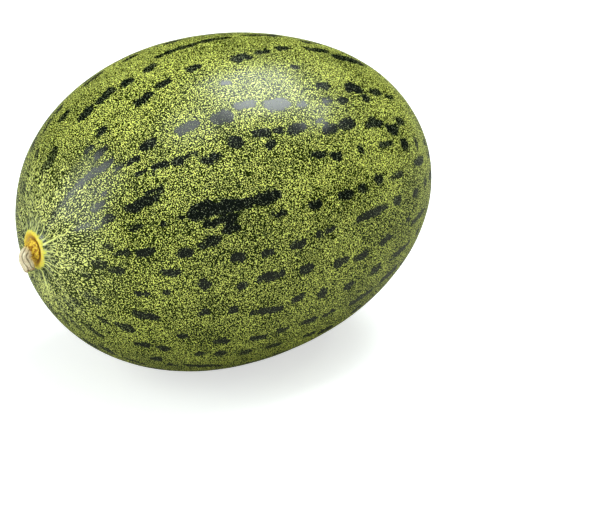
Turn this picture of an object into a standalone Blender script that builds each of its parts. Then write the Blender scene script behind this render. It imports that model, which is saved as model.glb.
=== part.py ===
"""A whole piel de sapo melon, as picked, lying on its side on a small flat resting spot.

Metres, +Z up. The long axis runs along X with the stem end at -X. The origin is the middle of the
flat spot on the underside. Two pieces: the grown fruit and the dried stub of its stalk.
"""

import math

import bpy

# Driving dimensions of the fruit, in metres.
FRUIT_LENGTH = 0.240  # between the two ends of the body, without the collar and the stub
FRUIT_DIAMETER = 0.178  # across the middle of the body
STEM_END_FULLNESS = 0.067  # share by which the stem end is fuller than an ellipsoid
BOTH_ENDS_FULLNESS = 0.058  # share by which both ends are squarer than an ellipsoid
RESTING_SPOT_DEPTH = 0.0010  # how far the belly is flattened where it lies

# The raised ring of tissue round the stalk, and the scar inside it.
COLLAR_WIDTH = 0.0044  # from its crest out to its foot
COLLAR_HEIGHT = 0.0016  # crest above the end of the body
SEAT_DEPTH = 0.0012  # floor of the scar below the crest
SEAT_MARGIN = 0.0008  # free ring of floor round the foot of the stub
SEAT_WALL_WIDTH = 0.0016  # slope from the edge of the floor up to the crest

# The dried stub of the stalk.
STUB_FOOT_RADIUS = 0.0062
STUB_RADIUS = 0.0035
STUB_TIP_RADIUS = 0.0031
STUB_FOOT_RISE = 0.0008  # height above the collar's crest at which the bend starts
STUB_INNER_BEND = 0.0006  # radius left on the inside of the bend
STUB_BEND_ANGLE = math.radians(100.0)
STUB_DROOP_LENGTH = 0.0062  # stretch beyond the bend
STUB_LEAN = math.radians(28.0)  # of the drooping end, from straight down towards -Y

CLEARANCE = 0.0003  # gap between the stub's foot and the floor of the scar

# Fineness of the faceted surfaces.
BODY_RINGS = 44
BODY_SIDES = 64
COLLAR_RINGS = 6
STUB_BEND_RINGS = 7
STUB_FOOT_RINGS = 4

CUTTER_SIZE = 0.5 * FRUIT_LENGTH
MERGE_DISTANCE = 0.00001
RIND_ROUGHNESS = 0.38
STUB_ROUGHNESS = 0.85

RIND_COLOUR = (0.115, 0.165, 0.028, 1.0)
STUB_COLOUR = (0.560, 0.400, 0.190, 1.0)


def clear_scene():
    """Remove whatever objects the open scene holds."""
    for existing in list(bpy.data.objects):
        bpy.data.objects.remove(existing, do_unlink=True)


def new_collection(name):
    """Return a new collection linked to the scene."""
    collection = bpy.data.collections.new(name)
    bpy.context.scene.collection.children.link(collection)
    return collection


def new_material(name, colour, roughness):
    """Return a plain Principled material that is no metal."""
    material = bpy.data.materials.new(name)
    material.use_nodes = True
    shader = material.node_tree.nodes["Principled BSDF"]
    shader.inputs["Base Color"].default_value = colour
    shader.inputs["Roughness"].default_value = roughness
    shader.inputs["Metallic"].default_value = 0.0
    return material


def body_point(angle):
    """Return (radius, height) on the body's meridian, from 0 at the stem end to pi at the blossom end."""
    height = math.cos(angle)
    fullness = 1.0 + STEM_END_FULLNESS * height + BOTH_ENDS_FULLNESS * height * height
    radius = 0.5 * FRUIT_DIAMETER * math.sin(angle) * fullness
    return radius, 0.5 * FRUIT_LENGTH * height


def widest_angle():
    """Return the meridian angle of the widest ring, by golden-section search."""
    low = 0.25 * math.pi
    high = 0.75 * math.pi
    ratio = 0.5 * (math.sqrt(5.0) - 1.0)
    while high - low > 1e-9:
        left = high - ratio * (high - low)
        right = low + ratio * (high - low)
        if body_point(left)[0] > body_point(right)[0]:
            high = right
        else:
            low = left
    return 0.5 * (low + high)


def seat_radius():
    """Return the radius of the scar's flat floor, which the stub's foot stands on with a margin."""
    return STUB_FOOT_RADIUS + SEAT_MARGIN


def crest_radius():
    """Return the radius of the collar's crest."""
    return seat_radius() + SEAT_WALL_WIDTH


def collar_foot_angle():
    """Return the meridian angle where the body is as wide as the collar's foot, by bisection."""
    low = 0.0
    high = 0.5 * math.pi
    while high - low > 1e-9:
        middle = 0.5 * (low + high)
        if body_point(middle)[0] < crest_radius() + COLLAR_WIDTH:
            low = middle
        else:
            high = middle
    return 0.5 * (low + high)


def crest_height():
    """Return the height of the collar's crest along the fruit's own axis."""
    return 0.5 * FRUIT_LENGTH + COLLAR_HEIGHT


def seat_height():
    """Return the height of the scar's flat floor along the fruit's own axis."""
    return crest_height() - SEAT_DEPTH


def fruit_profile():
    """Return the (radius, height) points from the middle of the scar down to the blossom end."""
    points = [(0.0, seat_height()), (seat_radius(), seat_height())]
    foot_angle = collar_foot_angle()
    foot_radius, foot_height = body_point(foot_angle)
    for step in range(COLLAR_RINGS):
        share = step / COLLAR_RINGS
        radius = crest_radius() + (foot_radius - crest_radius()) * share
        swell = 0.5 * (1.0 + math.cos(math.pi * share))
        points.append((radius, foot_height + (crest_height() - foot_height) * swell))
    for step in range(BODY_RINGS + 1):
        angle = foot_angle + (math.pi - foot_angle) * step / BODY_RINGS
        radius, height = body_point(angle)
        points.append((max(radius, 0.0), height))
    return points


def turned_object(name, profile, sides, collection):
    """Return an object whose (radius, height) profile is turned round Z by a Screw modifier."""
    mesh = bpy.data.meshes.new(name)
    vertices = [(radius, 0.0, height) for radius, height in profile]
    edges = [(index, index + 1) for index in range(len(profile) - 1)]
    mesh.from_pydata(vertices, edges, [])
    turned = bpy.data.objects.new(name, mesh)
    collection.objects.link(turned)
    screw = turned.modifiers.new("turn", "SCREW")
    screw.axis = "Z"
    screw.steps = sides
    screw.render_steps = sides
    screw.use_merge_vertices = True
    screw.merge_threshold = MERGE_DISTANCE
    screw.use_smooth_shade = True
    return turned


def belly_cutter(collection):
    """Return the block under the origin that takes the belly down to the flat resting spot."""
    bpy.ops.mesh.primitive_cube_add(size=CUTTER_SIZE, location=(0.0, 0.0, -0.5 * CUTTER_SIZE))
    cutter = bpy.context.object
    cutter.name = "belly_cutter"
    for holder in list(cutter.users_collection):
        holder.objects.unlink(cutter)
    collection.objects.link(cutter)
    cutter.hide_render = True
    cutter.display_type = "WIRE"
    return cutter


def build_fruit(parts, cutters):
    """Build the fruit, turned upright and then laid on its belly with the stem end at -X."""
    fruit = turned_object("fruit", fruit_profile(), BODY_SIDES, parts)
    widest_radius, widest_height = body_point(widest_angle())
    fruit.rotation_euler = (0.0, -0.5 * math.pi, 0.0)
    fruit.location = (widest_height, 0.0, widest_radius - RESTING_SPOT_DEPTH)
    flatten = fruit.modifiers.new("resting_spot", "BOOLEAN")
    flatten.operation = "DIFFERENCE"
    flatten.solver = "EXACT"
    flatten.object = belly_cutter(cutters)
    fruit.data.materials.append(new_material("rind", RIND_COLOUR, RIND_ROUGHNESS))
    return fruit


def stub_stations():
    """Return the stub's (out, droop, radius) stations, from its foot to its tip."""
    stations = []
    foot_height = SEAT_DEPTH + STUB_FOOT_RISE
    bend_radius = STUB_RADIUS + STUB_INNER_BEND
    for step in range(STUB_FOOT_RINGS):
        share = step / STUB_FOOT_RINGS
        narrowing = 0.5 * (1.0 + math.cos(math.pi * share))
        radius = STUB_RADIUS + (STUB_FOOT_RADIUS - STUB_RADIUS) * narrowing
        stations.append((share * foot_height, 0.0, radius))
    for step in range(STUB_BEND_RINGS + 1):
        turn = STUB_BEND_ANGLE * step / STUB_BEND_RINGS
        out = foot_height + bend_radius * math.sin(turn)
        droop = bend_radius * (1.0 - math.cos(turn))
        stations.append((out, droop, STUB_RADIUS))
    bend_out, bend_droop, _ = stations[-1]
    tip_out = bend_out + STUB_DROOP_LENGTH * math.cos(STUB_BEND_ANGLE)
    tip_droop = bend_droop + STUB_DROOP_LENGTH * math.sin(STUB_BEND_ANGLE)
    stations.append((0.5 * (bend_out + tip_out), 0.5 * (bend_droop + tip_droop), STUB_RADIUS))
    stations.append((tip_out, tip_droop, STUB_TIP_RADIUS))
    return stations


def build_stub(parts, fruit):
    """Build the stub as a bevelled curve that stands on the scar and curls down and towards -Y."""
    stations = stub_stations()
    curve = bpy.data.curves.new("stem_stub", "CURVE")
    curve.dimensions = "3D"
    curve.bevel_depth = STUB_RADIUS
    curve.bevel_resolution = 4
    curve.use_fill_caps = True
    spline = curve.splines.new("POLY")
    spline.points.add(len(stations) - 1)
    foot_x = fruit.location.x - seat_height() - CLEARANCE
    for point, (out, droop, radius) in zip(spline.points, stations):
        side = -droop * math.sin(STUB_LEAN)
        down = -droop * math.cos(STUB_LEAN)
        point.co = (-out, side, down, 1.0)
        point.radius = radius / STUB_RADIUS
    stub = bpy.data.objects.new("stem_stub", curve)
    stub.location = (foot_x, fruit.location.y, fruit.location.z)
    parts.objects.link(stub)
    curve.materials.append(new_material("dried_stem", STUB_COLOUR, STUB_ROUGHNESS))
    return stub


def main():
    """Build the whole melon."""
    clear_scene()
    parts = new_collection("piel_de_sapo_melon")
    cutters = new_collection("cutters")
    fruit = build_fruit(parts, cutters)
    build_stub(parts, fruit)


main()
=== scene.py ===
"""The looks of a whole piel de sapo melon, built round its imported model.

Metres, in the model's own frame: the long axis runs along X with the stem end at -X, and +Z is up.
A place on the skin is given as its way along the skin from the middle of the stem end, in
millimetres, and its angle round the long axis, in degrees: 0 on the -Y side and 90 on top.
"""

import math
from types import SimpleNamespace

import bpy
import numpy as np
from mathutils import Matrix, Vector, noise


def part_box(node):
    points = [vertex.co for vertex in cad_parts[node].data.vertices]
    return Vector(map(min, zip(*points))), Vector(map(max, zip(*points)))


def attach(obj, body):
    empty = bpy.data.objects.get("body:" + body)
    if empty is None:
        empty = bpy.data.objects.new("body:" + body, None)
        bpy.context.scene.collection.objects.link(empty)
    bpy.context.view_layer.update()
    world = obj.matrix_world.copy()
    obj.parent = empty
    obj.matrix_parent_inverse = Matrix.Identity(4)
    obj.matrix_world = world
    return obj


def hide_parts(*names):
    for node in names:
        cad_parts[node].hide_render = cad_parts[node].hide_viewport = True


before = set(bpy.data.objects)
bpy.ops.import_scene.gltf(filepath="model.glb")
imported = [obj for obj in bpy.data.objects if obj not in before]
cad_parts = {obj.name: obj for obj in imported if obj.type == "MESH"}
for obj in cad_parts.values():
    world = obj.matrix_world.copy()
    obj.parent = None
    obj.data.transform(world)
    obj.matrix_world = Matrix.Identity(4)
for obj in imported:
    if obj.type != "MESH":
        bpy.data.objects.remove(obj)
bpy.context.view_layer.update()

MM = 0.001

# The collar and the scar round the stalk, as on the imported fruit.
COLLAR_HEIGHT = 1.6 * MM
SEAT_DEPTH = 1.2 * MM
SEAT_RADIUS = 6.5 * MM
CREST_RADIUS = 8.6 * MM
COLLAR_FOOT_RADIUS = 13.0 * MM

# The dried stub of the stalk, in mm: it stands on the scar, bends over and droops.
STUB_FOOT_RADIUS = 6.15
STUB_RADIUS = 3.4
STUB_TIP_RADIUS = 3.05
STUB_FOOT_HEIGHT = 2.0
STUB_BEND_RADIUS = 4.1
STUB_BEND_ANGLE = math.radians(100.0)
STUB_DROOP_LENGTH = 6.0
STUB_LEAN = math.radians(28.0)
STUB_RINGS = 90
STUB_SIDES = 120
STUB_STRANDS = 7

# Fineness of the skin.
SKIN_SIDES = 340
FINE_SPACING = 0.36 * MM
COARSE_SPACING = 1.50 * MM
FINE_UNTIL = 17.0 * MM
COARSE_FROM = 70.0 * MM
BLOSSOM_FINE_FROM = 25.0 * MM

# The dark blotches in sight: angle, start and end along the skin in mm, and width in mm.
BLOTCHES = [
    (95, 44, 57, 7), (99.5, 40, 48, 4), (106, 70, 78, 5.5), (113, 96, 112, 5),
    (91.5, 73, 85, 6), (91, 86, 100, 6.5), (89.5, 101, 110, 6), (89.5, 116, 126, 5),
    (94.5, 129, 175, 4.5), (95, 184, 210, 4.5),
    (72.5, 63, 69, 2.8), (75, 72, 80, 4), (75.5, 98, 110, 4.5), (77.5, 112, 124, 4.5), (78.5, 132, 142, 4),
    (77, 158, 171, 7), (78.5, 175, 184, 4), (80, 189, 200, 4), (80, 209, 227, 5), (76, 224, 250, 7),
    (66, 65, 74, 3), (67, 142, 148, 2.6), (67.5, 186, 192, 2.8),
    (57, 13, 34, 2), (60, 26, 50, 2.4), (60, 42, 64, 2.8), (58.5, 56, 74, 3),
    (53.5, 70, 77, 1.8), (53, 77, 85, 3.4), (56, 87, 96, 5), (55.5, 107, 120, 6),
    (54, 126, 139, 7), (56, 141, 154, 5), (53, 157, 172, 7), (51, 175, 181, 3),
    (57.5, 193, 204, 5), (56, 213, 227, 6), (55, 233, 243, 5),
    (51, 192, 199, 3), (51, 203, 211, 4.5), (51, 223, 230, 3.5), (53, 246, 254, 3),
    (46.5, 79, 86, 2.4), (46, 88, 97, 3.4), (44.5, 98, 104, 4.8), (45, 104, 113, 2.4), (41.5, 112, 123, 4.6),
    (44, 85, 89, 2), (44, 129, 137, 7), (44.5, 143, 153, 4.5), (44, 155, 161, 3.5), (43, 163, 175, 5),
    (40, 147, 154, 4), (44, 182, 187, 2.6), (40.5, 183, 193, 6), (41, 195, 208, 6),
    (40, 214, 231, 5.5), (37, 231, 243, 6), (40.5, 243, 253, 4),
    (46, 58, 62, 2), (41.5, 50, 59, 4), (34, 67, 86, 4.8), (37, 80, 90, 3),
    (33.5, 36, 47, 2.6), (29.5, 48, 54, 2), (32, 53, 62, 2.8),
    (24, 67, 74, 2.8), (22.5, 82, 87, 2.5), (24, 92, 96, 1.8),
    (24.5, 97, 113, 8), (23.5, 108, 131, 6.5), (19.5, 103, 122, 5), (23.5, 127, 147, 6),
    (16.5, 50, 57, 3), (12.5, 56, 65, 3.6), (12, 68, 78, 4),
    (10, 88, 97, 5), (12, 99, 103, 2.6), (13, 103, 112, 4.5), (16, 112, 122, 4),
    (5.5, 43, 52, 4.6), (2.5, 52, 61, 2.8), (2.5, 79, 90, 3.6), (-5.5, 37, 43, 3), (-7, 80, 84, 4),
    (-9, 66, 73, 2.6), (-21.5, 66, 81, 4.6), (-23.5, 39, 50, 5), (-34, 60, 71, 5), (-37, 50, 57, 3.4),
    (-40, 32, 42, 4.6), (-42, 74, 82, 5), (-50, 30, 40, 4.4), (-54, 48, 60, 4),
]

# Where the rows of blotches that are out of sight begin along the skin: angle and start in mm.
HIDDEN_ROWS = [
    (31, 168), (19, 132), (7, 112), (-5, 98), (-17, 94), (-29, 88), (-41, 84), (-53, 76), (-66, 22),
    (-78, 30), (-91, 24), (-103, 34), (-116, 20), (-128, 28), (-141, 24), (-154, 32), (-167, 22), (-179, 30),
    (168, 26), (156, 20), (143, 30), (130, 24), (118, 40), (106, 108), (90, 214),
]

# Pale cracks that run from the collar into the rind: angle at the collar, end along the skin in mm,
# width in mm and the drift of its angle in degrees.
CRACKS = [
    (33, 42, 1.20, 4), (88, 21, 0.75, 7), (77, 20, 0.70, 6), (59, 21, 0.65, 5), (114, 22, 0.65, 1),
    (14, 22, 0.90, -2), (-64, 33, 2.00, -20), (-17, 25, 0.60, 7), (-24, 28, 0.80, 3), (46, 19, 0.60, -2),
    (101, 18, 0.40, 3), (134, 24, 0.50, 5), (156, 20, 0.45, -6), (178, 25, 0.55, 4), (-158, 19, 0.45, 8),
    (-133, 24, 0.50, -5), (-108, 20, 0.45, 6), (-86, 23, 0.50, -3), (-40, 21, 0.45, 5), (2, 20, 0.40, 3),
]
CRACK_START = 11.0

# Scales of the patterns on the rind and the stub, in features per metre.
PATCH_SCALE = 38.0
FINE_PATCH_SCALE = 120.0
STREAK_SCALE = 150.0
UNEVEN_SCALE = 190.0
TOOTH_SCALE = 420.0
RAGGED_SCALE = 560.0
CRUMB_SCALE = 900.0
NET_SCALE = 1820.0

# Strength of the net, and how far a blotch darkens it.
NET_CONTRAST = 16.0
BLOTCH_DARKENING = -2.30

# Colours of the rind, as linear red, green and blue.
GROUND_DARK = (0.008, 0.014, 0.0004)
GROUND_LIGHT = (0.018, 0.028, 0.0008)
# A greyer, lighter ground near the stem: painted sheen.
STEM_GROUND_PAINTED_SHEEN = (0.030, 0.042, 0.006)
BLOTCH_GROUND = (0.004, 0.007, 0.004)
THREAD_DARK = (0.125, 0.225, 0.003)
THREAD_LIGHT = (0.210, 0.300, 0.004)
# A greyer thread near the stem: painted sheen.
STEM_THREAD_PAINTED_SHEEN = (0.240, 0.300, 0.040)
BLOTCH_THREAD = (0.110, 0.135, 0.070)
BRIGHT_THREAD = (0.940, 0.990, 0.180)
# A greyer, whiter bright thread near the stem: painted sheen.
STEM_BRIGHT_THREAD_PAINTED_SHEEN = (0.960, 0.980, 0.270)
RING_GROUND = (0.045, 0.060, 0.030)
RING_THREAD = (0.160, 0.190, 0.070)
CRACK_COLOUR = (0.900, 0.930, 0.300)
COLLAR_CRUMB = (0.480, 0.250, 0.015)
BLOSSOM_SCAR_DARK = (0.150, 0.090, 0.035)
BLOSSOM_SCAR_LIGHT = (0.520, 0.400, 0.190)

# Colours across the collar, from the stalk's scar out to the rind.
COLLAR_STOPS = [
    (0.0, (0.460, 0.210, 0.015)),
    (0.20, (0.900, 0.580, 0.035)),
    (0.50, (0.960, 0.700, 0.045)),
    (0.80, (0.980, 0.830, 0.080)),
    (1.0, (0.700, 0.740, 0.090)),
]

# Colours of the dried stub.
STRAW_DARK = (0.640, 0.460, 0.290)
STRAW_LIGHT = (0.980, 0.900, 0.660)
FIBRE_BROWN = (0.380, 0.220, 0.090)
CRUMB_BROWN = (0.380, 0.160, 0.012)
CRUMB_GOLD = (0.960, 0.680, 0.060)
TORN_BROWN = (0.400, 0.170, 0.070)
# Near-black brown in the grooves between strands: painted shade.
GROOVE_PAINTED_SHADE = (0.085, 0.060, 0.018)
# Near-black brown inside the hollow end: painted shade.
HOLLOW_PAINTED_SHADE = (0.035, 0.016, 0.006)

# The floor: its colour to the camera, in reflections and in the light it throws back, and its glow.
FLOOR_RADIUS = 5.0
FLOOR_DROP = 0.2 * MM
FLOOR_WHITE = (0.72, 0.72, 0.72)
FLOOR_REFLECTED = (0.22, 0.22, 0.18)
FLOOR_BOUNCE = (0.56, 0.56, 0.46)
FLOOR_GLOW = 0.60
WHITE = (1.0, 1.0, 1.0)

# The camera: its direction from the fruit, lens in mm, and place beside the fruit's centre in metres.
CAMERA_AZIMUTH = math.radians(-35.0)
CAMERA_ELEVATION = math.radians(24.3)
CAMERA_LENS = 141.2
CAMERA_SENSOR = 36.0
CAMERA_DISTANCE = 1.2966
CAMERA_RIGHT_OF_FRUIT = 0.0411
CAMERA_BELOW_FRUIT = 0.0349

# The light from all round: its colour, brightest side and strengths.
LIGHT_COLOUR = (0.92, 1.0, 0.98)
BRIGHT_SIDE = (-0.66, -0.72, 0.12)
BRIGHT_SURROUND = 0.78
DIM_SURROUND = 0.06
REFLECTED_SURROUND = 0.05
BACKDROP = 1.1

# Soft boxes: name, direction from the fruit, distance, width and height in metres, and power in watts.
SOFT_BOXES = [
    ("key_box", (0.46, 0.04, 0.86), 1.3, 0.80, 0.70, 15.0),
    ("strip_box", (0.71, -0.24, 0.66), 1.3, 0.40, 0.12, 1.6),
    ("veil_box", (-0.05, -0.18, 0.98), 1.3, 0.50, 0.50, 2.8),
    ("left_box", (-0.88, 0.15, 0.38), 1.2, 0.75, 1.00, 8.0),
]


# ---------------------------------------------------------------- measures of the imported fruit


def measure_fruit():
    """Return half length, centre x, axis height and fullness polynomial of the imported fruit."""
    low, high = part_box("fruit")
    half_length = 0.5 * (high.x - low.x - COLLAR_HEIGHT)
    centre_x = high.x - half_length
    axis_z = high.z - 0.5 * (high.y - low.y)
    points = np.array([vertex.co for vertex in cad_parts["fruit"].data.vertices])
    share = (centre_x - points[:, 0]) / half_length
    radius = np.hypot(points[:, 1], points[:, 2] - axis_z)
    body = (np.abs(share) < 0.97) & (points[:, 2] > axis_z)
    fullness = radius[body] / np.sqrt(1.0 - share[body] ** 2)
    return half_length, centre_x, axis_z, np.polyfit(share[body], fullness, 2)


HALF_LENGTH, CENTRE_X, AXIS_Z, FULLNESS = measure_fruit()
CENTRE = Vector((CENTRE_X, 0.0, AXIS_Z))


def body_radius(share):
    """Return the body's radius at a share of its half length, 1 at the stem end and -1 at the other."""
    return np.sqrt(np.clip(1.0 - share**2, 0.0, None)) * np.polyval(FULLNESS, share)


def smooth_step(value, low, high):
    """Return 0 below low, 1 above high and a smooth rise between them."""
    share = np.clip((value - low) / (high - low), 0.0, 1.0)
    return share * share * (3.0 - 2.0 * share)


def fine_meridian():
    """Return radius and height along the meridian, finely sampled from the scar to the blossom end."""
    angles = np.linspace(0.0, math.pi, 6001)
    height = HALF_LENGTH * np.cos(angles)
    radius = body_radius(np.cos(angles))
    rise_out = 1.0 - smooth_step(radius, CREST_RADIUS, COLLAR_FOOT_RADIUS)
    rise_in = smooth_step(radius, SEAT_RADIUS, CREST_RADIUS)
    crest = HALF_LENGTH + COLLAR_HEIGHT
    collar = height + (crest - height) * rise_out - SEAT_DEPTH * (1.0 - rise_in)
    near_stem = (radius < COLLAR_FOOT_RADIUS) & (height > 0.0)
    return radius, np.where(near_stem, collar, height)


def skin_rings():
    """Return radius, height and way along the skin of each ring, closely spaced at both ends."""
    radius, height = fine_meridian()
    way = np.concatenate([[0.0], np.cumsum(np.hypot(np.diff(radius), np.diff(height)))])
    from_blossom = way[-1] - way
    near_blossom = 1.0 - smooth_step(from_blossom, 0.0, BLOSSOM_FINE_FROM)
    widening = smooth_step(way, FINE_UNTIL, COARSE_FROM) * (1.0 - 0.6 * near_blossom)
    spacing = FINE_SPACING + (COARSE_SPACING - FINE_SPACING) * widening
    count = np.concatenate([[0.0], np.cumsum(np.diff(way) / (0.5 * (spacing[1:] + spacing[:-1])))])
    rings = int(round(count[-1]))
    stations = np.interp(np.arange(1, rings) / rings * count[-1], count, way)
    return np.interp(stations, way, radius), np.interp(stations, way, height), stations, way[-1]


# ---------------------------------------------------------------- the skin's grid and its marks


def noise_at(points, scale, seed):
    """Return smooth noise from about -1 to 1 at each point, with features of about 1/scale metres."""
    offset = Vector((13.7 * seed, -7.9 * seed, 5.3 * seed))
    values = [noise.noise(Vector(point) * scale + offset) for point in points]
    return np.array(values)


def random_row(rng, angle, start, end):
    """Return the blotches of one row that is out of sight, each like those in sight."""
    blotches = []
    place = start + rng.uniform(0.0, 12.0)
    while place < end:
        length = rng.choice([6.0, 10.0, 15.0, 24.0], p=[0.3, 0.35, 0.25, 0.1]) * rng.uniform(0.8, 1.25)
        width = rng.uniform(2.8, 5.0) + 1.6 * rng.random() ** 3
        blotches.append((angle + rng.uniform(-2.2, 2.2), place, place + length, width))
        place += length + rng.uniform(2.0, 16.0)
    return blotches


def all_blotches(total_way):
    """Return the blotches in sight and, from a fixed seed, those out of sight."""
    rng = np.random.default_rng(11)
    blotches = list(BLOTCHES)
    for angle, start in HIDDEN_ROWS:
        blotches += random_row(rng, angle, start, total_way / MM - 26.0)
    return blotches


def blotch_depth(way, angle, radius, total_way):
    """Return how far each point lies inside a blotch, in mm, below 0 outside all of them."""
    depth = np.full(way.shape, -6.0)
    for middle_angle, start, end, width in all_blotches(total_way):
        reach = 0.5 * (end - start)
        along = np.abs(way / MM - 0.5 * (start + end))
        half = 0.5 * width * (1.06 - 0.4 * np.minimum(along / reach, 1.0) ** 2)
        along = np.maximum(along - max(reach - 0.35 * width, 0.0), 0.0)
        turn = np.degrees(angle) - middle_angle
        turn = np.radians((turn + 180.0) % 360.0 - 180.0)
        across = np.abs(turn) * radius / MM
        depth = np.maximum(depth, half - np.hypot(along, across))
    return np.clip(depth, -6.0, 3.0)


def crack_strength(way, angle, radius, wobble):
    """Return how much of each point a pale crack covers, from 0 to 1."""
    strength = np.zeros(way.shape)
    for first_angle, end, width, drift in CRACKS:
        share = np.clip((way / MM - CRACK_START) / (end - CRACK_START), 0.0, 1.0)
        middle = first_angle + drift * share + 5.0 * wobble * share
        turn = np.radians((np.degrees(angle) - middle + 180.0) % 360.0 - 180.0)
        across = np.abs(turn) * radius / MM
        half = 0.5 * width * (1.0 - 0.75 * share)
        line = 1.0 - smooth_step(across, 0.5 * half, half + 0.18)
        line *= (share > 0.0) * (1.0 - smooth_step(share, 0.7, 1.0))
        strength = np.maximum(strength, line)
    return strength


def folded(points, fold, drift):
    """Return pattern coordinates in which marks come out drawn out along the skin by the factor fold.

    Each turn round the long axis is taken fold times at 1/fold of the radius, which keeps the marks'
    width; drift moves opposite sides apart so that no mark repeats.
    """
    angle = np.arctan2(points[:, 2] - AXIS_Z, -points[:, 1])
    radius = np.hypot(points[:, 1], points[:, 2] - AXIS_Z)
    along = points[:, 0] / fold + drift * np.cos(angle)
    around = radius / fold
    return np.stack([along, around * np.cos(fold * angle), around * np.sin(fold * angle)], 1)


def net_shares(way, total_way):
    """Return the weights of the plain, twice and thrice drawn-out net, whose squares add up to 1."""
    near = np.minimum(way, total_way - way) / MM
    plain = smooth_step(near, 34.0, 62.0)
    thrice = 1.0 - smooth_step(near, 15.0, 22.0)
    twice = np.clip(1.0 - plain - thrice, 0.0, 1.0)
    length = np.sqrt(plain**2 + twice**2 + thrice**2)
    return np.stack([plain, twice, thrice], 1) / length[:, None]


def add_numbers(mesh, name, values):
    """Store one number per vertex under a name that the material reads."""
    mesh.attributes.new(name, "FLOAT", "POINT").data.foreach_set("value", np.ravel(values).astype(np.float32))


def add_vectors(mesh, name, values):
    """Store one vector per vertex under a name that the material reads."""
    data = mesh.attributes.new(name, "FLOAT_VECTOR", "POINT").data
    data.foreach_set("vector", np.ravel(values).astype(np.float32))


def grid_faces(rings, sides):
    """Return the faces of a closed surface: rings of sides vertices, then one vertex for each end."""
    first_end = rings * sides
    faces = []
    for ring in range(rings - 1):
        for side in range(sides):
            after = (side + 1) % sides
            this, following = ring * sides, (ring + 1) * sides
            faces.append((this + side, this + after, following + after, following + side))
    for side in range(sides):
        after = (side + 1) % sides
        faces.append((first_end, after, side))
        faces.append((first_end + 1, (rings - 1) * sides + side, (rings - 1) * sides + after))
    return faces


def lay_flat(mesh, stations, sides):
    """Give a grid's faces a flat layout for baking: turns across, and the rings' stations, 0 to 1, up."""
    side = np.arange(sides)
    left, middle, right = side / sides, (side + 0.5) / sides, (side + 1) / sides
    across = np.tile(np.stack([left, right, right, left], 1).ravel(), len(stations) - 1)
    low, high = stations[:-1], stations[1:]
    up = np.repeat(np.stack([low, low, high, high], 1), sides, axis=0).ravel()
    ends_across = np.stack([middle, right, left, middle, left, right], 1).ravel()
    ends_up = np.tile([0.0, low[0], low[0], 1.0, high[-1], high[-1]], sides)
    places = np.stack([np.append(across, ends_across), np.append(up, ends_up)], 1)
    mesh.uv_layers.new(name="OFBake").data.foreach_set("uv", places.ravel())


def closed_surface(name, points, sides, stations):
    """Return the mesh of a closed surface: a ring of points for each station, then one for each end."""
    mesh = bpy.data.meshes.new(name)
    mesh.from_pydata(points.tolist(), [], grid_faces(len(stations), sides))
    lay_flat(mesh, stations, sides)
    mesh.shade_smooth()
    return mesh


def placed(name, mesh):
    """Return a new object with this mesh, placed in the scene."""
    shown = bpy.data.objects.new(name, mesh)
    bpy.context.scene.collection.objects.link(shown)
    return shown


def smooth_body(ring_radius, ring_height, ring_way):
    """Return the angle, place and normal of every point of the smooth body, ring after ring."""
    angle = np.tile(np.arange(SKIN_SIDES) / SKIN_SIDES * 2.0 * math.pi, len(ring_way))
    radius = np.repeat(ring_radius, SKIN_SIDES)
    height = np.repeat(ring_height, SKIN_SIDES)
    slope_radius = np.repeat(np.gradient(ring_radius, ring_way), SKIN_SIDES)
    slope_height = np.repeat(np.gradient(ring_height, ring_way), SKIN_SIDES)
    out = np.stack([np.full(angle.shape, 0.0), -np.cos(angle), np.sin(angle)], 1)
    axis = np.array([-1.0, 0.0, 0.0])
    points = out * radius[:, None] + axis * height[:, None] + np.array(CENTRE)
    normal = out * -slope_height[:, None] + axis * slope_radius[:, None]
    normal /= np.linalg.norm(normal, axis=1)[:, None]
    return angle, points, normal


def skin_relief(points, way, angle, total_way):
    """Return how far each point of the smooth body moves outwards, in metres."""
    way_mm = way / MM
    from_blossom = (total_way - way) / MM
    relief = 0.45 * MM * (noise_at(points, 16.0, 1) - 0.6)
    relief += 0.10 * MM * noise_at(points, 70.0, 2)
    around = np.stack([np.cos(angle) * 5.2, np.sin(angle) * 5.2, way * 25.0], 1)
    wrinkle = noise_at(around, 1.0, 3) + 0.6 * noise_at(around, 2.3, 4)
    fade = smooth_step(way_mm, 10.0, 15.0) * (1.0 - smooth_step(way_mm, 20.0, 52.0))
    relief += 0.34 * MM * wrinkle * fade
    pucker = (1.0 - smooth_step(from_blossom, 3.0, 17.0)) * 0.7
    relief += pucker * MM * (0.5 * wrinkle - 1.0)
    collar = smooth_step(way_mm, 6.6, 8.0) * (1.0 - smooth_step(way_mm, 11.5, 14.0))
    rough = noise_at(points, 420.0, 5) + 0.6 * noise_at(points, 900.0, 6)
    relief += collar * MM * (0.28 * rough - 0.12)
    return relief


def mark_skin(mesh, points, way, angle, radius, total_way):
    """Store on each point of the skin what its material reads."""
    wobble = noise_at(np.stack([way * 160.0, angle * 0.6, angle * 0.0], 1), 1.0, 7)
    add_numbers(mesh, "blotch_depth", blotch_depth(way, angle, radius, total_way))
    add_numbers(mesh, "crack", crack_strength(way, angle, radius, wobble))
    add_numbers(mesh, "from_stem", way / MM)
    add_numbers(mesh, "from_blossom", (total_way - way) / MM)
    add_vectors(mesh, "net_shares", net_shares(way, total_way))
    add_vectors(mesh, "net_twice", folded(points, 2, 0.009))
    add_vectors(mesh, "net_thrice", folded(points, 3, 0.013))


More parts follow.
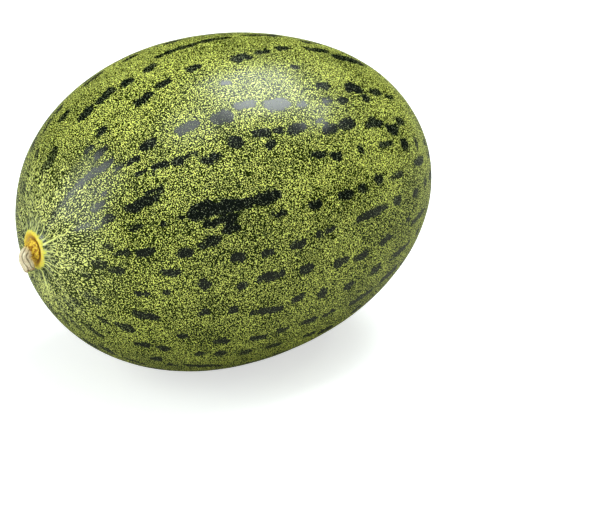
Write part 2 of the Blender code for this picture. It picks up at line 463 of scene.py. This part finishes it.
def build_skin():
    """Return the fruit's skin, one closed surface with its marks stored on its vertices."""
    ring_radius, ring_height, ring_way, total_way = skin_rings()
    angle, points, normal = smooth_body(ring_radius, ring_height, ring_way)
    way = np.repeat(ring_way, SKIN_SIDES)
    shaped = points + normal * skin_relief(points, way, angle, total_way)[:, None]
    shaped[:, 2] = np.maximum(shaped[:, 2], 0.0)
    stem_middle = [CENTRE_X - (HALF_LENGTH + COLLAR_HEIGHT - SEAT_DEPTH), 0.0, AXIS_Z]
    blossom_middle = [shaped[-SKIN_SIDES:, 0].mean(), 0.0, AXIS_Z]
    everything = np.vstack([shaped, [stem_middle], [blossom_middle]])
    mesh = closed_surface("melon_skin", everything, SKIN_SIDES, ring_way / total_way)
    way = np.append(way, [0.0, total_way])
    radius = np.append(np.repeat(ring_radius, SKIN_SIDES), [0.0, 0.0])
    mark_skin(mesh, everything, way, np.append(angle, [0.0, 0.0]), radius, total_way)
    return placed("melon_skin", mesh)


# ---------------------------------------------------------------- the dried stub of the stalk


def stub_path(along):
    """Return way out, droop and turn of the stub's middle line at each length along it, in mm."""
    bend_length = STUB_BEND_RADIUS * STUB_BEND_ANGLE
    turn = np.clip((along - STUB_FOOT_HEIGHT) / STUB_BEND_RADIUS, 0.0, STUB_BEND_ANGLE)
    beyond = np.maximum(along - STUB_FOOT_HEIGHT - bend_length, 0.0)
    out = np.minimum(along, STUB_FOOT_HEIGHT) + STUB_BEND_RADIUS * np.sin(turn)
    droop = STUB_BEND_RADIUS * (1.0 - np.cos(turn))
    return out + beyond * math.cos(STUB_BEND_ANGLE), droop + beyond * math.sin(STUB_BEND_ANGLE), turn


def stub_rings():
    """Return length along the stub, share of the full radius and hollowness of each of its rings."""
    total = STUB_FOOT_HEIGHT + STUB_BEND_RADIUS * STUB_BEND_ANGLE + STUB_DROOP_LENGTH
    outside = np.linspace(0.0, total, STUB_RINGS)
    lip = total - np.array([-0.10, -0.05, 0.25, 0.8, 1.5, 2.3])
    along = np.concatenate([outside, lip])
    share = np.concatenate([np.ones(STUB_RINGS), [0.93, 0.82, 0.70, 0.60, 0.50, 0.34]])
    hollow = np.concatenate([np.zeros(STUB_RINGS), [0.0, 0.2, 0.7, 1.0, 1.0, 1.0]])
    return along, share, hollow, total


def stub_noise(round_it, along, fineness, stretch, seed):
    """Return noise at each point of the stub, drawn out along it."""
    return noise_at(round_it * fineness + along[:, None] * np.array([0.0, 0.0, 1.0]) * stretch, 1.0, seed)


def stub_grooves(round_it, angle, along):
    """Return how deep in a groove between two strands each point lies, from 0 to 1."""
    wander = stub_noise(round_it, along, 0.9, 0.35, 21)
    strand = np.sin(0.5 * STUB_STRANDS * angle + 0.10 * along + 1.6 * wander)
    return np.exp(-((strand / 0.34) ** 2)) * smooth_step(along, 1.6, 3.8)


def stub_radius(round_it, along, groove, total):
    """Return the stub's radius at each point, in mm, with its strands, wrinkles and crumbly foot."""
    narrowing = 0.5 + 0.5 * np.cos(math.pi * np.clip(along / STUB_FOOT_HEIGHT, 0.0, 1.0))
    radius = STUB_RADIUS + (STUB_FOOT_RADIUS - STUB_RADIUS) * narrowing
    radius += (STUB_TIP_RADIUS - STUB_RADIUS) * smooth_step(along, total - 3.0, total)
    wrinkle = stub_noise(round_it, along, 3.2, 0.35, 22)
    wrinkle += 0.6 * stub_noise(round_it, along, 6.5, 0.9, 23)
    crumb = stub_noise(round_it * radius[:, None], along, 0.75, 0.9, 24)
    stalk = smooth_step(along, 1.6, 3.8)
    foot = 1.0 - smooth_step(along, 0.9, 3.4)
    relief = 0.10 + 0.62 * groove + stalk * 0.26 * np.maximum(wrinkle + 0.55, 0.0)
    relief += foot * (0.25 + 0.75 * np.maximum(crumb + 0.2, 0.0)) * smooth_step(along, 0.0, 0.5)
    return radius - relief


def torn_back(round_it, along, groove, hollow, total):
    """Return how far the ragged end is torn back at each point, in mm."""
    torn = noise_at(round_it * 1.8, 1.0, 25) + 0.5 * noise_at(round_it * 4.5, 1.0, 26)
    torn = 0.75 + 0.75 * torn + 0.55 * groove
    torn = torn * smooth_step(along, total - 2.4, total) * (1.0 - 0.6 * hollow)
    return np.maximum(torn, 0.0)


def curled(angle, along, radius):
    """Return the points at these angles round the stub's curved middle line, lengths along it and radii."""
    out, droop, turn = stub_path(along)
    out -= radius * np.cos(angle) * np.sin(turn)
    droop += radius * np.cos(angle) * np.cos(turn)
    aside = radius * np.sin(angle)
    outwards = np.array([-1.0, 0.0, 0.0])
    downwards = np.array([0.0, -math.sin(STUB_LEAN), -math.cos(STUB_LEAN)])
    sideways = np.cross(outwards, downwards)
    foot_middle = np.array([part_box("stem_stub")[1].x, 0.0, AXIS_Z])
    points = out[:, None] * outwards + droop[:, None] * downwards + aside[:, None] * sideways
    return foot_middle + MM * points


def build_stub():
    """Return the dried stub, one closed surface with strands, grooves and a ragged hollow end."""
    ring_along, ring_share, ring_hollow, total = stub_rings()
    rings = len(ring_along)
    angle = np.tile(np.arange(STUB_SIDES) / STUB_SIDES * 2.0 * math.pi, rings)
    along = np.repeat(ring_along, STUB_SIDES)
    hollow = np.repeat(ring_hollow, STUB_SIDES)
    round_it = np.stack([np.cos(angle), np.sin(angle), angle * 0.0], 1)
    groove = stub_grooves(round_it, angle, along)
    radius = stub_radius(round_it, along, groove, total) * np.repeat(ring_share, STUB_SIDES)
    points = curled(angle, along - torn_back(round_it, along, groove, hollow, total), radius)
    points = np.vstack([points, [points[:STUB_SIDES].mean(0), points[-STUB_SIDES:].mean(0)]])
    mesh = closed_surface("dried_stub", points, STUB_SIDES, np.arange(1, rings + 1) / (rings + 1))
    fibre = round_it * 3.4 + along[:, None] * np.array([0.0, 0.0, 1.0]) * 0.16
    add_numbers(mesh, "along", np.append(along, [0.0, total]))
    add_numbers(mesh, "groove", np.append(groove, [0.0, 0.0]))
    add_numbers(mesh, "hollow", np.append(hollow, [0.0, 1.0]))
    add_vectors(mesh, "fibre", np.vstack([fibre, fibre[:1], fibre[-1:]]))
    return placed("dried_stub", mesh)


# ---------------------------------------------------------------- calls for materials


class Nodes:
    """A node tree, with short calls for the nodes that these looks use."""

    def __init__(self, tree):
        self.tree = tree

    def feed(self, socket, value):
        """Link an output to a socket, or set the socket's own value; a tuple is an opaque colour."""
        if isinstance(value, bpy.types.NodeSocket):
            self.tree.links.new(value, socket)
        elif isinstance(value, tuple):
            socket.default_value = (*value, 1.0)
        else:
            socket.default_value = value

    def attribute(self, name, output="Fac"):
        """Return an attribute stored on the mesh."""
        node = self.tree.nodes.new("ShaderNodeAttribute")
        node.attribute_name = name
        return node.outputs[output]

    def place(self, output="Object"):
        """Return the place of a point, in the object's own coordinates unless others are named."""
        return self.tree.nodes.new("ShaderNodeTexCoord").outputs[output]

    def slant(self):
        """Return how far the surface leans away from the view, from 0 to 1."""
        return self.tree.nodes.new("ShaderNodeLayerWeight").outputs["Facing"]

    def ray(self, kind):
        """Return 1 for rays of one kind and 0 for the others."""
        return self.tree.nodes.new("ShaderNodeLightPath").outputs[kind]

    def noise(self, vector, scale, detail=2.0, roughness=0.5):
        """Return noise from 0 to 1."""
        node = self.tree.nodes.new("ShaderNodeTexNoise")
        self.feed(node.inputs["Vector"], vector)
        node.inputs["Scale"].default_value = scale
        node.inputs["Detail"].default_value = detail
        node.inputs["Roughness"].default_value = roughness
        return node.outputs["Fac"]

    def math(self, operation, first, second=0.0, third=0.0):
        """Return the result of a Math node."""
        node = self.tree.nodes.new("ShaderNodeMath")
        node.operation = operation
        for socket, value in zip(node.inputs, (first, second, third)):
            self.feed(socket, value)
        return node.outputs[0]

    def add(self, first, second):
        """Return a sum."""
        return self.math("ADD", first, second)

    def times(self, first, second):
        """Return a product."""
        return self.math("MULTIPLY", first, second)

    def swing(self, value, size):
        """Return a value from 0 to 1 made into one from -size/2 to size/2."""
        return self.times(self.math("SUBTRACT", value, 0.5), size)

    def dot(self, first, second):
        """Return the dot product of two vectors."""
        node = self.tree.nodes.new("ShaderNodeVectorMath")
        node.operation = "DOT_PRODUCT"
        self.feed(node.inputs[0], first)
        self.feed(node.inputs[1], second)
        return node.outputs["Value"]

    def vector(self, x, y, z):
        """Return a vector made of three numbers."""
        node = self.tree.nodes.new("ShaderNodeCombineXYZ")
        for socket, value in zip(node.inputs, (x, y, z)):
            self.feed(socket, value)
        return node.outputs[0]

    def step(self, value, low, high, start=0.0, end=1.0):
        """Return start below low, end above high and a smooth change between them."""
        node = self.tree.nodes.new("ShaderNodeMapRange")
        node.interpolation_type = "SMOOTHSTEP"
        names = ("Value", "From Min", "From Max", "To Min", "To Max")
        for name, number in zip(names, (value, low, high, start, end)):
            self.feed(node.inputs[name], number)
        return node.outputs["Result"]

    def mix(self, share, first, second):
        """Return a colour between two colours."""
        node = self.tree.nodes.new("ShaderNodeMix")
        node.data_type = "RGBA"
        share_socket, first_socket, second_socket = node.inputs[0], node.inputs[6], node.inputs[7]
        self.feed(share_socket, share)
        self.feed(first_socket, first)
        self.feed(second_socket, second)
        return node.outputs[2]

    def ramp(self, value, stops):
        """Return a colour from a list of (place, colour) stops."""
        node = self.tree.nodes.new("ShaderNodeValToRGB")
        elements = node.color_ramp.elements
        while len(elements) < len(stops):
            elements.new(0.5)
        for element, (place, colour) in zip(elements, stops):
            element.position = place
            element.color = (*colour, 1.0)
        self.feed(node.inputs[0], value)
        return node.outputs[0]

    def bump(self, height, distance):
        """Return the normal of a surface with this relief."""
        node = self.tree.nodes.new("ShaderNodeBump")
        node.inputs["Distance"].default_value = distance
        self.feed(node.inputs["Height"], height)
        return node.outputs[0]


def new_material(name):
    """Return a new material, the calls for its nodes and its shader's sockets."""
    material = bpy.data.materials.new(name)
    material.use_nodes = True
    tree = material.node_tree
    return material, Nodes(tree), tree.nodes["Principled BSDF"].inputs


# ---------------------------------------------------------------- the rind


def thread_net(nodes, place):
    """Return the fine net, drawn out towards both ends: high on its threads and low in its meshes."""
    drawn_out = [nodes.attribute("net_twice", "Vector"), nodes.attribute("net_thrice", "Vector")]
    nets = [nodes.swing(nodes.noise(pattern, NET_SCALE, 0.0), 1.0) for pattern in (place, *drawn_out)]
    return nodes.times(nodes.dot(nodes.vector(*nets), nodes.attribute("net_shares", "Vector")), NET_CONTRAST)


def blotch_cover(nodes, place, from_stem):
    """Return how much a dark blotch covers, with ragged, uneven edges that are calmer near the stem."""
    drawn_out = nodes.attribute("net_twice", "Vector")
    ragged = nodes.swing(nodes.noise(drawn_out, RAGGED_SCALE, 3.0, 0.65), 4.6)
    uneven = nodes.swing(nodes.noise(place, UNEVEN_SCALE, 1.0), 4.4)
    wander = nodes.times(nodes.add(ragged, uneven), nodes.step(from_stem, 30.0, 80.0, 0.4, 1.0))
    cover = nodes.step(nodes.add(nodes.attribute("blotch_depth"), wander), -0.8, 0.7)
    return nodes.times(cover, nodes.step(from_stem, 32.0, 78.0, 0.46, 1.0))


def rind_marks(nodes):
    """Return what the rind's colour, gloss and relief are made from."""
    marks = SimpleNamespace()
    place = nodes.place()
    marks.from_stem = nodes.attribute("from_stem")
    marks.crack = nodes.attribute("crack")
    marks.patch = nodes.noise(place, PATCH_SCALE, 3.0, 0.55)
    marks.fine_patch = nodes.noise(place, FINE_PATCH_SCALE)
    marks.crumb = nodes.noise(place, CRUMB_SCALE, 3.0, 0.6)
    # Share near the stem: it sets the painted sheen in the rind's colour and the higher gloss by the stem.
    marks.near_stem = nodes.step(marks.from_stem, 22.0, 70.0, 1.0, 0.0)
    marks.blotch = blotch_cover(nodes, place, marks.from_stem)
    # Lighter and darker streaks near the stem in the net's lightness: painted sheen streaks; they also raise
    # the gloss.
    streak = nodes.noise(nodes.attribute("net_thrice", "Vector"), STREAK_SCALE)
    marks.streak = nodes.times(nodes.step(streak, 0.35, 0.65, -0.40, 0.80), marks.near_stem)
    lightness = nodes.add(thread_net(nodes, place), nodes.step(marks.patch, 0.3, 0.7, -0.48, 0.40))
    lightness = nodes.math("MULTIPLY_ADD", marks.blotch, BLOTCH_DARKENING, lightness)
    marks.lightness = nodes.add(lightness, marks.streak)
    marks.pale = nodes.step(marks.lightness, 0.74, 1.30)
    marks.bright = nodes.step(marks.lightness, 1.26, 1.90)
    collar_edge = nodes.add(marks.from_stem, nodes.swing(nodes.noise(place, TOOTH_SCALE), 6.0))
    marks.collar = nodes.step(collar_edge, 11.3, 12.0, 1.0, 0.0)
    scar_edge = nodes.add(nodes.attribute("from_blossom"), nodes.swing(marks.fine_patch, 7.0))
    marks.scar = nodes.step(scar_edge, 3.6, 5.2, 1.0, 0.0)
    marks.dry = nodes.math("MAXIMUM", marks.collar, marks.scar)
    return marks


def net_colour(nodes, marks):
    """Return the colour of the dark ground with the net's pale and bright threads on it, and painted sheen
    near the stem: greyer, lighter ground and threads there.
    """
    ground = nodes.mix(marks.fine_patch, GROUND_DARK, GROUND_LIGHT)
    # Painted sheen: near the stem the ground and threads turn greyer and lighter.
    ground = nodes.mix(marks.near_stem, ground, STEM_GROUND_PAINTED_SHEEN)
    ground = nodes.mix(marks.blotch, ground, BLOTCH_GROUND)
    thread = nodes.mix(marks.patch, THREAD_DARK, THREAD_LIGHT)
    thread = nodes.mix(nodes.times(marks.near_stem, 0.75), thread, STEM_THREAD_PAINTED_SHEEN)
    thread = nodes.mix(nodes.times(marks.blotch, 0.75), thread, BLOTCH_THREAD)
    bright_thread = nodes.mix(marks.near_stem, BRIGHT_THREAD, STEM_BRIGHT_THREAD_PAINTED_SHEEN)
    bright_share = nodes.times(marks.bright, nodes.math("MULTIPLY_ADD", marks.blotch, -0.85, 1.0))
    return nodes.mix(bright_share, nodes.mix(marks.pale, ground, thread), bright_thread)


def rind_colour(nodes, marks):
    """Return the rind's colour: the net, the smooth ring with its cracks, the collar and the blossom scar."""
    ring = nodes.step(nodes.add(marks.from_stem, nodes.swing(marks.fine_patch, 9.0)), 15.0, 21.0, 1.0, 0.0)
    ring_colour = nodes.mix(marks.pale, RING_GROUND, RING_THREAD)
    colour = nodes.mix(nodes.times(ring, 0.65), net_colour(nodes, marks), ring_colour)
    colour = nodes.mix(marks.crack, colour, CRACK_COLOUR)
    collar_colour = nodes.ramp(nodes.step(marks.from_stem, 5.5, 12.8), COLLAR_STOPS)
    crumb_share = nodes.step(marks.crumb, 0.55, 0.75, 0.0, 0.45)
    collar_colour = nodes.mix(crumb_share, collar_colour, COLLAR_CRUMB)
    colour = nodes.mix(marks.collar, colour, collar_colour)
    scar_colour = nodes.mix(marks.crumb, BLOSSOM_SCAR_DARK, BLOSSOM_SCAR_LIGHT)
    return nodes.mix(marks.scar, colour, scar_colour)


def rind_roughness(nodes, marks):
    """Return the rind's roughness: threads are duller than the ground, and the dry parts dullest."""
    roughness = nodes.step(marks.lightness, -0.5, 1.1, 0.22, 0.36)
    return nodes.math("MAXIMUM", roughness, nodes.times(marks.dry, 0.58))


def rind_gloss(nodes, marks):
    """Return how much the rind mirrors: more in blotches and by the stem, less at a slant."""
    threads = nodes.step(marks.lightness, -0.4, 1.2, 0.26, 0.98)
    gloss = nodes.math("MULTIPLY_ADD", marks.blotch, 0.36, threads)
    by_stem = nodes.add(nodes.math("MULTIPLY_ADD", marks.near_stem, 0.45, 1.0), marks.streak)
    return nodes.times(nodes.times(gloss, by_stem), nodes.step(nodes.slant(), 0.55, 0.98, 1.0, 0.25))


def rind_relief(nodes, marks):
    """Return the height of the net's threads, the cracks and the crumbs of the dry parts."""
    relief = nodes.math("MULTIPLY_ADD", marks.pale, 0.6, nodes.times(marks.bright, 0.5))
    relief = nodes.math("MULTIPLY_ADD", marks.dry, nodes.times(marks.crumb, 4.0), relief)
    return nodes.math("MULTIPLY_ADD", marks.crack, 1.5, relief)


def rind_material():
    """Return the mottled rind: a fine pale net on dark green, dark blotches, cracks and the collar."""
    material, nodes, shader = new_material("piel_de_sapo_rind")
    marks = rind_marks(nodes)
    nodes.feed(shader["Base Color"], rind_colour(nodes, marks))
    nodes.feed(shader["Roughness"], rind_roughness(nodes, marks))
    nodes.feed(shader["Specular IOR Level"], rind_gloss(nodes, marks))
    nodes.feed(shader["Normal"], nodes.bump(rind_relief(nodes, marks), 0.12 * MM))
    return material


# ---------------------------------------------------------------- the stub's and the floor's materials


def stub_colour(nodes, fibre, fine_fibre, crumb):
    """Return the stub's colour: a golden foot, beige fibres, and painted shade in the grooves and in the
    hollow end.
    """
    along = nodes.attribute("along")
    straw = nodes.mix(nodes.step(fibre, 0.34, 0.66), STRAW_DARK, STRAW_LIGHT)
    straw = nodes.mix(nodes.step(fine_fibre, 0.56, 0.74, 0.0, 0.55), straw, FIBRE_BROWN)
    foot = nodes.mix(nodes.step(crumb, 0.40, 0.62), CRUMB_BROWN, CRUMB_GOLD)
    past_foot = nodes.step(nodes.math("MULTIPLY_ADD", crumb, 3.0, along), 4.2, 6.6)
    torn = nodes.step(nodes.math("MULTIPLY_ADD", fine_fibre, 2.0, along), 14.6, 16.4)
    colour = nodes.mix(nodes.times(torn, 0.7), nodes.mix(past_foot, foot, straw), TORN_BROWN)
    # Painted shade: the grooves between strands are darkened.
    groove = nodes.times(nodes.attribute("groove"), nodes.step(fibre, 0.3, 0.6, 1.0, 0.6))
    colour = nodes.mix(groove, colour, GROOVE_PAINTED_SHADE)
    # Painted shade: the inside of the hollow end is darkened.
    return nodes.mix(nodes.attribute("hollow"), colour, HOLLOW_PAINTED_SHADE)


def stub_material():
    """Return the dry, fibrous stuff of the stub."""
    material, nodes, shader = new_material("dried_stalk")
    lengthwise = nodes.attribute("fibre", "Vector")
    fibre = nodes.noise(lengthwise, 2.4, 3.0, 0.6)
    fine_fibre = nodes.noise(lengthwise, 7.0, 2.0, 0.6)
    crumb = nodes.noise(nodes.place(), CRUMB_SCALE, 3.0, 0.6)
    nodes.feed(shader["Base Color"], stub_colour(nodes, fibre, fine_fibre, crumb))
    shader["Roughness"].default_value = 0.72
    shader["Specular IOR Level"].default_value = 0.30
    relief = nodes.add(nodes.times(fine_fibre, 0.7), nodes.times(crumb, 0.5))
    nodes.feed(shader["Normal"], nodes.bump(relief, 0.25 * MM))
    return material


def floor_material():
    """Return the plain pale floor, which glows a little as a light table does."""
    material, nodes, shader = new_material("pale_floor")
    colour = nodes.mix(nodes.ray("Is Glossy Ray"), FLOOR_WHITE, FLOOR_REFLECTED)
    colour = nodes.mix(nodes.ray("Is Diffuse Ray"), colour, FLOOR_BOUNCE)
    nodes.feed(shader["Base Color"], colour)
    shader["Roughness"].default_value = 0.9
    shader["Specular IOR Level"].default_value = 0.1
    nodes.feed(shader["Emission Color"], WHITE)
    nodes.feed(shader["Emission Strength"], nodes.times(nodes.ray("Is Camera Ray"), FLOOR_GLOW))
    return material


# ---------------------------------------------------------------- camera, floor and light


def camera_axes():
    """Return the camera's right, up and back directions."""
    back = Vector((
        math.sin(CAMERA_AZIMUTH) * math.cos(CAMERA_ELEVATION),
        -math.cos(CAMERA_AZIMUTH) * math.cos(CAMERA_ELEVATION),
        math.sin(CAMERA_ELEVATION),
    ))
    right = Vector((0.0, 0.0, 1.0)).cross(back).normalized()
    return right, back.cross(right), back


def add_camera():
    """Add the camera, which looks a little to the right of the fruit and below it."""
    right, up, back = camera_axes()
    place = CENTRE + right * CAMERA_RIGHT_OF_FRUIT - up * CAMERA_BELOW_FRUIT + back * CAMERA_DISTANCE
    data = bpy.data.cameras.new("camera")
    data.lens = CAMERA_LENS
    data.sensor_width = CAMERA_SENSOR
    camera = bpy.data.objects.new("camera", data)
    camera.matrix_world = Matrix.Translation(place) @ Matrix((right, up, back)).transposed().to_4x4()
    bpy.context.scene.collection.objects.link(camera)
    bpy.context.scene.camera = camera


def add_soft_box(name, direction, distance, width, height, power):
    """Add a rectangular area light that faces the fruit from a direction."""
    data = bpy.data.lights.new(name, "AREA")
    data.shape = "RECTANGLE"
    data.size = width
    data.size_y = height
    data.energy = power
    data.color = LIGHT_COLOUR
    light = bpy.data.objects.new(name, data)
    away = Vector(direction).normalized()
    light.location = CENTRE + away * distance
    light.rotation_mode = "QUATERNION"
    light.rotation_quaternion = away.to_track_quat("Z", "Y")
    light.visible_camera = False
    bpy.context.scene.collection.objects.link(light)


def add_floor():
    """Add a wide round floor just under the resting spot."""
    place = (0.0, 0.0, -FLOOR_DROP)
    bpy.ops.mesh.primitive_circle_add(vertices=96, radius=FLOOR_RADIUS, fill_type="NGON", location=place)
    floor = bpy.context.object
    floor.name = "floor"
    floor.data.materials.append(floor_material())


def add_surround():
    """Light the scene from all round, most from the stem side: dim in reflections, white in sight."""
    world = bpy.data.worlds.new("surround")
    world.use_nodes = True
    nodes = Nodes(world.node_tree)
    background = world.node_tree.nodes["Background"].inputs
    nodes.feed(background["Color"], LIGHT_COLOUR)
    facing = nodes.dot(nodes.place("Generated"), Vector(BRIGHT_SIDE).normalized())
    strength = nodes.step(facing, -0.7, 0.7, DIM_SURROUND, BRIGHT_SURROUND)
    reflected = nodes.step(nodes.ray("Is Glossy Ray"), 0.0, 1.0, 1.0, REFLECTED_SURROUND)
    strength = nodes.times(strength, reflected)
    seen = nodes.math("MULTIPLY_ADD", nodes.ray("Is Camera Ray"), BACKDROP, strength)
    nodes.feed(background["Strength"], seen)
    bpy.context.scene.world = world


def add_light():
    """Add the soft boxes and the surround."""
    for name, direction, distance, width, height, power in SOFT_BOXES:
        add_soft_box(name, direction, distance, width, height, power)
    add_surround()


# ---------------------------------------------------------------- the scene


def main():
    """Build the looks, the camera, the floor and the light."""
    bpy.context.scene.view_settings.view_transform = "Standard"
    skin = build_skin()
    skin.data.materials.append(rind_material())
    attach(skin, "root")
    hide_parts("fruit")
    stub = build_stub()
    stub.data.materials.append(stub_material())
    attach(stub, "root")
    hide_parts("stem_stub")
    add_camera()
    add_floor()
    add_light()


main()
